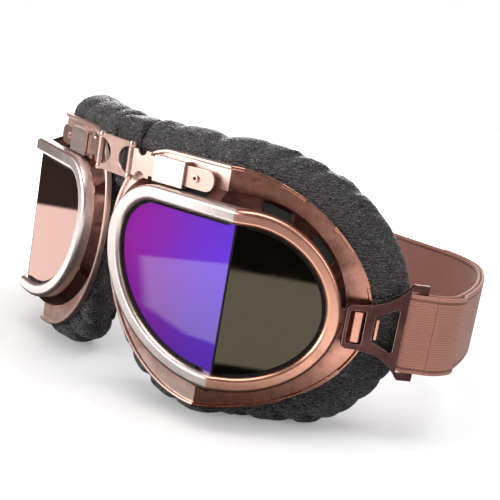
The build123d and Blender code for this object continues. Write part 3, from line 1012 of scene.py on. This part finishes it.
def puff_cloth(piece):
    """Blow the lobes up a little as cloth, with the gathers held, and keep the result."""
    mesh = piece.data
    before = [vertex.co.copy() for vertex in mesh.vertices]
    pins = pin_weights(piece)
    mesh.transform(Matrix.Scale(puff_scale, 4))
    modifier = piece.modifiers.new("puff", "CLOTH")
    settings = modifier.settings
    settings.quality = 5
    settings.mass = 0.4
    settings.tension_stiffness = 25
    settings.compression_stiffness = 12
    settings.bending_stiffness = 1.5
    settings.use_pressure = True
    settings.uniform_pressure_force = 5
    settings.shrink_min = -0.06
    settings.vertex_group_mass = pins.name
    settings.effector_weights.gravity = 0
    modifier.collision_settings.use_collision = False
    modifier.collision_settings.use_self_collision = False
    scene = bpy.context.scene
    for step in range(1, puff_frames + 1):
        scene.frame_set(step)
    apply_modifiers(piece)
    scene.frame_set(1)
    mesh = piece.data
    mesh.transform(Matrix.Scale(1 / puff_scale, 4))
    for vertex, start in zip(mesh.vertices, before):
        move = vertex.co - start
        if move.length > puff_limit:
            vertex.co = start + move.normalized() * puff_limit


def wrinkle_move(spot):
    """Fine tucks that run from the gathers over the lobes, and thin creases."""
    place, reach = gathers(spot)
    outer = ramp(reach, outer_start_share, outer_blend_share)
    tuck = noise.noise(Vector((place * tuck_place_pace, spot.y * tuck_depth_pace,
                               reach * tuck_reach_pace)))
    line = noise.noise(Vector((place * crease_place_pace + crease_seed,
                               spot.y * crease_depth_pace, reach * crease_reach_pace)))
    crease = max(0.0, 1 - abs(line) * 2 - crease_start_share) / (1 - crease_start_share)
    move = tuck_height * tuck - crease_depth * crease
    return move * (inner_wrinkle_share + (1 - inner_wrinkle_share) * outer)


def saddle_move(spot):
    return saddle_soft_height * noise.noise(spot * saddle_soft_pace)


def subdivided(piece):
    finer = piece.modifiers.new("finer", "SUBSURF")
    finer.levels = 1
    finer.render_levels = 1
    apply_modifiers(piece)


def face_pads():
    right = copy_of_node("face_pad_right", "leather_pad_right")
    reskinned(right, pad_voxel, pad_rounds)
    displaced(right, gather_move)
    puff_cloth(right)
    subdivided(right)
    displaced(right, wrinkle_move)
    for vertex in right.data.vertices:
        vertex.co.z = max(vertex.co.z, cad_low.z)
    smooth(right, degrees=80)
    left = mirrored(right, "leather_pad_left")
    for piece, (side, sign) in zip((right, left), sides):
        paint(piece, pad_leather)
        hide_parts(f"face_pad_{side}")
        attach(piece, f"cup_{side}")


def nose_saddle():
    """Rolled leather over the nose, as high as the pads beside it."""
    piece = copy_of_node("nose_pad", "leather_nose_saddle")
    low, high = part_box("nose_pad")
    for vertex in piece.data.vertices:
        share = (vertex.co.z - low[2]) / (high[2] - low[2])
        vertex.co.z += saddle_rise * share * share
    reskinned(piece, fine_voxel, saddle_rounds)
    subdivided(piece)
    displaced(piece, saddle_move)
    smooth(piece, degrees=80)
    paint(piece, pad_leather)
    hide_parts("nose_pad")
    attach(piece, "bridge")


def pad_linings():
    for side, sign in sides:
        piece = copy_of_node(f"face_lining_{side}", f"brushed_lining_{side}")
        reskinned(piece, fine_voxel, lining_rounds)
        smooth(piece, degrees=60)
        paint(piece, lining_cloth)
        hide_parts(f"face_lining_{side}")
        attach(piece, f"cup_{side}")


face_pads()
nose_saddle()
pad_linings()


# Elastic strap

strap_width = 28 * mm
strap_thickness = 1.3 * mm
strap_leg_gap = 0.2 * mm
strap_cut_shares = (0.24, 0.34)
strap_loop_run = 22 * mm
strap_slot_run = 12.4 * mm
buckle_outer_run = 18.7 * mm
buckle_thickness = 1.4 * mm
buckle_rest_turn = radians(4.4)
buckle_heading = front_wrap + side_bend + buckle_rest_turn
strap_arcs = ((14 * mm, radians(49)), (130 * mm, radians(24)), (34 * mm, None))
strap_point_step = 0.8 * mm
loop_cut_share = 0.25
loop_sweeps = 3
strap_back_points = 60
strap_least_points = 3
webbing_columns = 14
webbing_edge_shares = (0.25, 0.7)
strap_leg_offset = (strap_thickness + strap_leg_gap) / 2
strap_lift = 1.3 * mm
strap_lift_length = 12 * mm
strap_step_length = 4.5 * mm
buckle_portion = Portion(pivot_place, buckle_heading)


def arc_points(start, heading, radius, angle):
    """Plan points along an arc that turns to the left."""
    centre = start + Vector((-sin(heading), cos(heading))) * radius
    count = max(strap_least_points, int(radius * angle / strap_point_step))
    found = []
    for index in range(1, count + 1):
        turned = heading + angle * index / count
        found.append(centre + Vector((sin(turned), -cos(turned))) * radius)
    return found


def lifted(plan, lift):
    """A route that stands off outward at its start and steps back after a length."""
    found = []
    for spot, heading, travelled in zip(plan, headings(plan), travelled_lengths(plan)):
        share = ramp(travelled, strap_lift_length, strap_step_length)
        rise = lift * (1 - share * share * (3 - 2 * share))
        found.append(spot + Vector((heading.y, -heading.x)) * rise)
    return found


def strap_route(offset):
    """Plan points of one strap layer from the buckle loop to the back of the head."""
    start = buckle_portion.at(strap_loop_run, 0, offset)
    found = [Vector((start.x, start.y))]
    heading = buckle_heading
    for radius, angle in strap_arcs:
        turn = pi - heading if angle is None else angle
        found += arc_points(found[-1], heading, radius + offset, turn)
        heading += turn
    return found


def loop_route():
    """Plan points of the strap end where it wraps the outer bar of the buckle."""
    slot_middle = strap_slot_run + strap_thickness / 2 + strap_leg_gap / 2
    out = buckle_thickness / 2 + strap_leg_gap + strap_thickness / 2
    corners = [(strap_loop_run, -strap_leg_offset), (buckle_outer_run, -out),
               (slot_middle, -out), (slot_middle, out), (buckle_outer_run, out),
               (strap_loop_run, strap_leg_offset + strap_lift)]
    spots = [buckle_portion.at(run, 0, off) for run, off in corners]
    plan = [Vector((spot.x, spot.y)) for spot in spots]
    for sweep in range(loop_sweeps):
        cut = [plan[0]]
        for first, second in zip(plan, plan[1:]):
            cut += [first.lerp(second, loop_cut_share), first.lerp(second, 1 - loop_cut_share)]
        plan = cut + [plan[-1]]
    return plan


def headings(plan):
    """Unit vectors along a route, at each of its points."""
    last = len(plan) - 1
    return [(plan[min(index + 1, last)] - plan[max(index - 1, 0)]).normalized()
            for index in range(last + 1)]


def travelled_lengths(plan, begin=0.0):
    """How far along the strap each point of a route lies."""
    found = [begin]
    for first, second in zip(plan, plan[1:]):
        found.append(found[-1] + (second - first).length)
    return found


def band(name, plan, ahead, travelled):
    """Webbing on edge along a plan route, with soft edges and UV in metres."""
    mesh = bpy.data.meshes.new(name)
    edit = bmesh.new()
    uv = edit.loops.layers.uv.new("webbing")
    half = strap_width / 2
    edge = strap_thickness / 2
    flat = strap_width - 2 * edge
    inset, rise = (share * edge for share in webbing_edge_shares)
    section = [(-half, 0), (-half + inset, rise)]
    section += [(-half + edge + flat * step / webbing_columns, edge)
                for step in range(webbing_columns + 1)]
    section += [(half - inset, rise), (half, 0)]
    section += [(-height, -depth) for height, depth in section[1:-1]]
    rings = []
    for spot, heading in zip(plan, ahead):
        normal = Vector((heading.y, -heading.x))
        rings.append([edit.verts.new((spot.x + normal.x * depth, spot.y + normal.y * depth,
                                      pivot_place.z + height)) for height, depth in section])
    size = len(section)
    for index in range(len(plan) - 1):
        for column in range(size):
            after = (column + 1) % size
            face = edit.faces.new((rings[index][column], rings[index + 1][column],
                                   rings[index + 1][after], rings[index][after]))
            spots = ((travelled[index], section[column][0]),
                     (travelled[index + 1], section[column][0]),
                     (travelled[index + 1], section[after][0]),
                     (travelled[index], section[after][0]))
            for loop, place in zip(face.loops, spots):
                loop[uv].uv = place
    edit.faces.new(rings[0])
    edit.faces.new(rings[-1][::-1])
    bmesh.ops.recalc_face_normals(edit, faces=edit.faces)
    edit.to_mesh(mesh)
    edit.free()
    piece = new_piece(name, mesh)
    smooth(piece, degrees=50)
    paint(piece, strap_webbing)
    return piece


def cut_route(plan, shares):
    """The route in stretches that share their end points."""
    stops = [0] + [round(share * (len(plan) - 1)) for share in shares] + [len(plan) - 1]
    return [plan[first:last + 1] for first, last in zip(stops, stops[1:])]


def strap_layer(node, route):
    """One layer in three stretches, cut at shares of its route."""
    stretches = cut_route(route, strap_cut_shares)
    turns = cut_route(headings(route), strap_cut_shares)
    travelled = [0.0]
    for index, (plan, ahead) in enumerate(zip(stretches, turns)):
        travelled = travelled_lengths(plan, travelled[-1])
        right = band(f"{node}_{index + 1}_right", plan, ahead, travelled)
        left = mirrored(right, f"{node}_{index + 1}_left")
        for piece, (side, sign) in zip((right, left), sides):
            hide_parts(f"{node}_{side}")
            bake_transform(piece)


def straps():
    route = loop_route()
    loop = band("webbing_loop_right", route, headings(route), travelled_lengths(route))
    for piece, (side, sign) in zip((loop, mirrored(loop, "webbing_loop_left")), sides):
        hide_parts(f"strap_loop_{side}")
        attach(piece, f"buckle_{side}")
    strap_layer("strap_side", strap_route(-strap_leg_offset))
    strap_layer("strap_return", lifted(strap_route(strap_leg_offset), strap_lift))
    end = strap_route(-strap_leg_offset)[-1]
    route = [Vector((end.x - 2 * end.x * step / strap_back_points, end.y))
             for step in range(strap_back_points + 1)]
    back = band("webbing_back", route, headings(route), travelled_lengths(route))
    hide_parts("strap_back")
    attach(back, "bridge")


straps()


# Floor, lights and camera

floor_size = 3.0
floor_tone = (0.86, 0.86, 0.86)
dark_tone = (0.04, 0.035, 0.035)
# What gloss sees of the paper: a disc, less a gap near its middle and past three slanted lines
paper_reach = 0.30
paper_edge = 0.012
near_reach = 0.148
near_edge = paper_edge / 2
side_edge = paper_edge / 3
paper_sides = ((0.73, 1.0, -0.3022), (1.0, -0.531, 0.0717), (0.748, -1.0, 0.1585))
gap_start = -0.10
glow_start = 0.10
glow_end = 0.34
near_glow = 0.20
far_glow = 1.0
gloss_glow = 0.55
room_level = 0.12
room_tone = (1, 0.62, 0.55)
diffuse_level = 0.40


def floor_material():
    """White paper to the camera, which gloss sees only as far as the sheet reaches."""
    material, shader, surface, coordinates = principled(
        "white_paper", Roughness=0.9, Specular_IOR_Level=0.1, Emission_Color=(1, 1, 1, 1))
    length = shader.add("ShaderNodeVectorMath", operation="LENGTH")
    shader.fill(length.inputs[0], coordinates["Object"])
    reach = length.outputs["Value"]
    place = shader.parts(coordinates["Object"])
    beyond = shader.span(reach, paper_reach, paper_reach + paper_edge)
    near = shader.span(reach, near_reach, near_reach + near_edge, start=1.0, end=0.0)
    for slant_x, slant_y, limit in paper_sides:
        slanted = shader.plus(shader.times(place["X"], slant_x),
                              shader.times(place["Y"], slant_y))
        past = shader.span(slanted, limit - side_edge, limit + side_edge, start=1.0, end=0.0)
        near = shader.math("MAXIMUM", near, past)
    gap = shader.times(near, shader.span(place["X"], gap_start, gap_start + paper_edge))
    path = shader.add("ShaderNodeLightPath").outputs
    glossy = path["Is Glossy Ray"]
    dark = shader.times(shader.math("MAXIMUM", beyond, gap), glossy)
    shader.fill(surface["Base Color"], shader.mix(dark, floor_tone, dark_tone))
    away = shader.span(reach, glow_start, glow_end, start=near_glow, end=far_glow)
    lit = shader.plus(shader.times(path["Is Camera Ray"], away),
                      shader.times(glossy, gloss_glow))
    shader.fill(surface["Emission Strength"], shader.times(lit, shader.minus(1.0, dark)))
    return material


def studio():
    bpy.ops.mesh.primitive_plane_add(size=floor_size, location=(0, 0, 0))
    floor = bpy.context.object
    floor.name = "paper_floor"
    paint(floor, floor_material())
    world = bpy.data.worlds.new("white_room")
    bpy.context.scene.world = world
    world.use_nodes = True
    shader = Shader(world.node_tree)
    sky = world.node_tree.nodes["Background"].inputs
    path = shader.add("ShaderNodeLightPath").outputs
    glossy = path["Is Glossy Ray"]
    plain = shader.span(path["Is Camera Ray"], 0.0, 1.0, start=diffuse_level, end=1.0)
    kept = shader.times(plain, shader.minus(1.0, glossy))
    shader.fill(sky["Color"], shader.mix(glossy, (1, 1, 1), room_tone))
    shader.fill(sky["Strength"], shader.plus(kept, shader.times(glossy, room_level)))


def softbox(name, place, size, power):
    """A rectangular lamp that faces the middle of the object."""
    lamp = bpy.data.lights.new(name, "AREA")
    lamp.shape = "RECTANGLE"
    lamp.size, lamp.size_y = size
    lamp.energy = power
    holder = bpy.data.objects.new(name, lamp)
    bpy.context.scene.collection.objects.link(holder)
    holder.location = place
    holder.rotation_mode = "QUATERNION"
    back = Vector(place) - (cad_low + cad_high) / 2
    holder.rotation_quaternion = back.to_track_quat("Z", "Y")


lens_length = 72
sensor_width = 36
camera_azimuth = radians(43.507)
camera_elevation = radians(12.772)
camera_roll = radians(9.869)
camera_distance = 309.3 * mm
camera_aim = pin_place + Vector((59.881, 3.309, -15.202)) * mm


def camera():
    lens = bpy.data.cameras.new("camera")
    lens.lens = lens_length
    lens.sensor_width = sensor_width
    lens.clip_start = 0.01
    lens.clip_end = 10
    holder = bpy.data.objects.new("camera", lens)
    bpy.context.scene.collection.objects.link(holder)
    back = Vector((sin(camera_azimuth) * cos(camera_elevation),
                   -cos(camera_azimuth) * cos(camera_elevation), sin(camera_elevation)))
    right = Vector((cos(camera_azimuth), sin(camera_azimuth), 0))
    up = back.cross(right)
    turned = right * cos(camera_roll) + up * sin(camera_roll)
    raised = up * cos(camera_roll) - right * sin(camera_roll)
    place = camera_aim + back * camera_distance
    holder.matrix_world = Matrix((
        (turned.x, raised.x, back.x, place.x),
        (turned.y, raised.y, back.y, place.y),
        (turned.z, raised.z, back.z, place.z),
        (0, 0, 0, 1)))
    bpy.context.scene.camera = holder


studio()
softbox("key", (-0.55, -1.0, 0.42), size=(0.9, 0.5), power=5.0)
softbox("low", (-0.38, -1.10, 0.18), size=(0.9, 0.24), power=4.4)
softbox("top", (0.15, -0.05, 0.75), size=(0.8, 0.4), power=3.2)
softbox("back", (-0.75, 0.85, 0.40), size=(1.0, 0.6), power=6.0)
softbox("rim", (0.95, 0.25, 0.45), size=(0.4, 0.6), power=1.8)
camera()

bpy.context.scene.view_settings.view_transform = "Standard"
